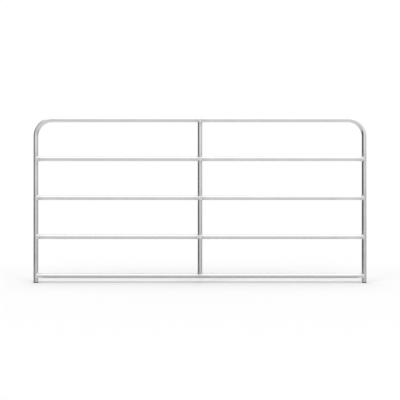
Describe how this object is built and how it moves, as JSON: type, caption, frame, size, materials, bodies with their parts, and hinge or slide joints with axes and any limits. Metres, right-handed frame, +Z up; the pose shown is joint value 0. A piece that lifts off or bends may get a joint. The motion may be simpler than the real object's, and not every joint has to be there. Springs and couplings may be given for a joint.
{
  "type": "livestock panel gate",
  "caption": "Livestock gate panel of round galvanised tube: a round-cornered hoop with coped and welded rails and a centre stay, standing on plugged leg ends.",
  "frame": {"origin": "on the ground, midway between the two legs and in the gate's own plane", "axes": "+X along the gate, towards the right leg as seen from the -Y side; +Y through the gate; +Z up"},
  "size_m": [3.048, 0.044, 1.511],
  "materials": {
    "galvanised_tube": "satin",
    "galvanised_weld": "matte",
    "plug_plastic": "matte"
  },
  "bodies": {
    "root": {"hoop_tube": "galvanised_tube", "bottom_rail": "galvanised_tube", "lower_rail": "galvanised_tube", "middle_rail": "galvanised_tube", "upper_rail": "galvanised_tube", "stay_piece_1": "galvanised_tube", "stay_piece_2": "galvanised_tube", "stay_piece_3": "galvanised_tube", "stay_piece_4": "galvanised_tube", "weld_bottom_rail_left": "galvanised_weld", "weld_bottom_rail_right": "galvanised_weld", "weld_lower_rail_left": "galvanised_weld", "weld_lower_rail_right": "galvanised_weld", "weld_middle_rail_left": "galvanised_weld", "weld_middle_rail_right": "galvanised_weld", "weld_upper_rail_left": "galvanised_weld", "weld_upper_rail_right": "galvanised_weld", "weld_stay_1_foot": "galvanised_weld", "weld_stay_1_head": "galvanised_weld", "weld_stay_2_foot": "galvanised_weld", "weld_stay_2_head": "galvanised_weld", "weld_stay_3_foot": "galvanised_weld", "weld_stay_3_head": "galvanised_weld", "weld_stay_4_foot": "galvanised_weld", "weld_stay_4_head": "galvanised_weld", "foot_plug_left": "plug_plastic", "foot_plug_right": "plug_plastic"}
  },
  "joints": []
}
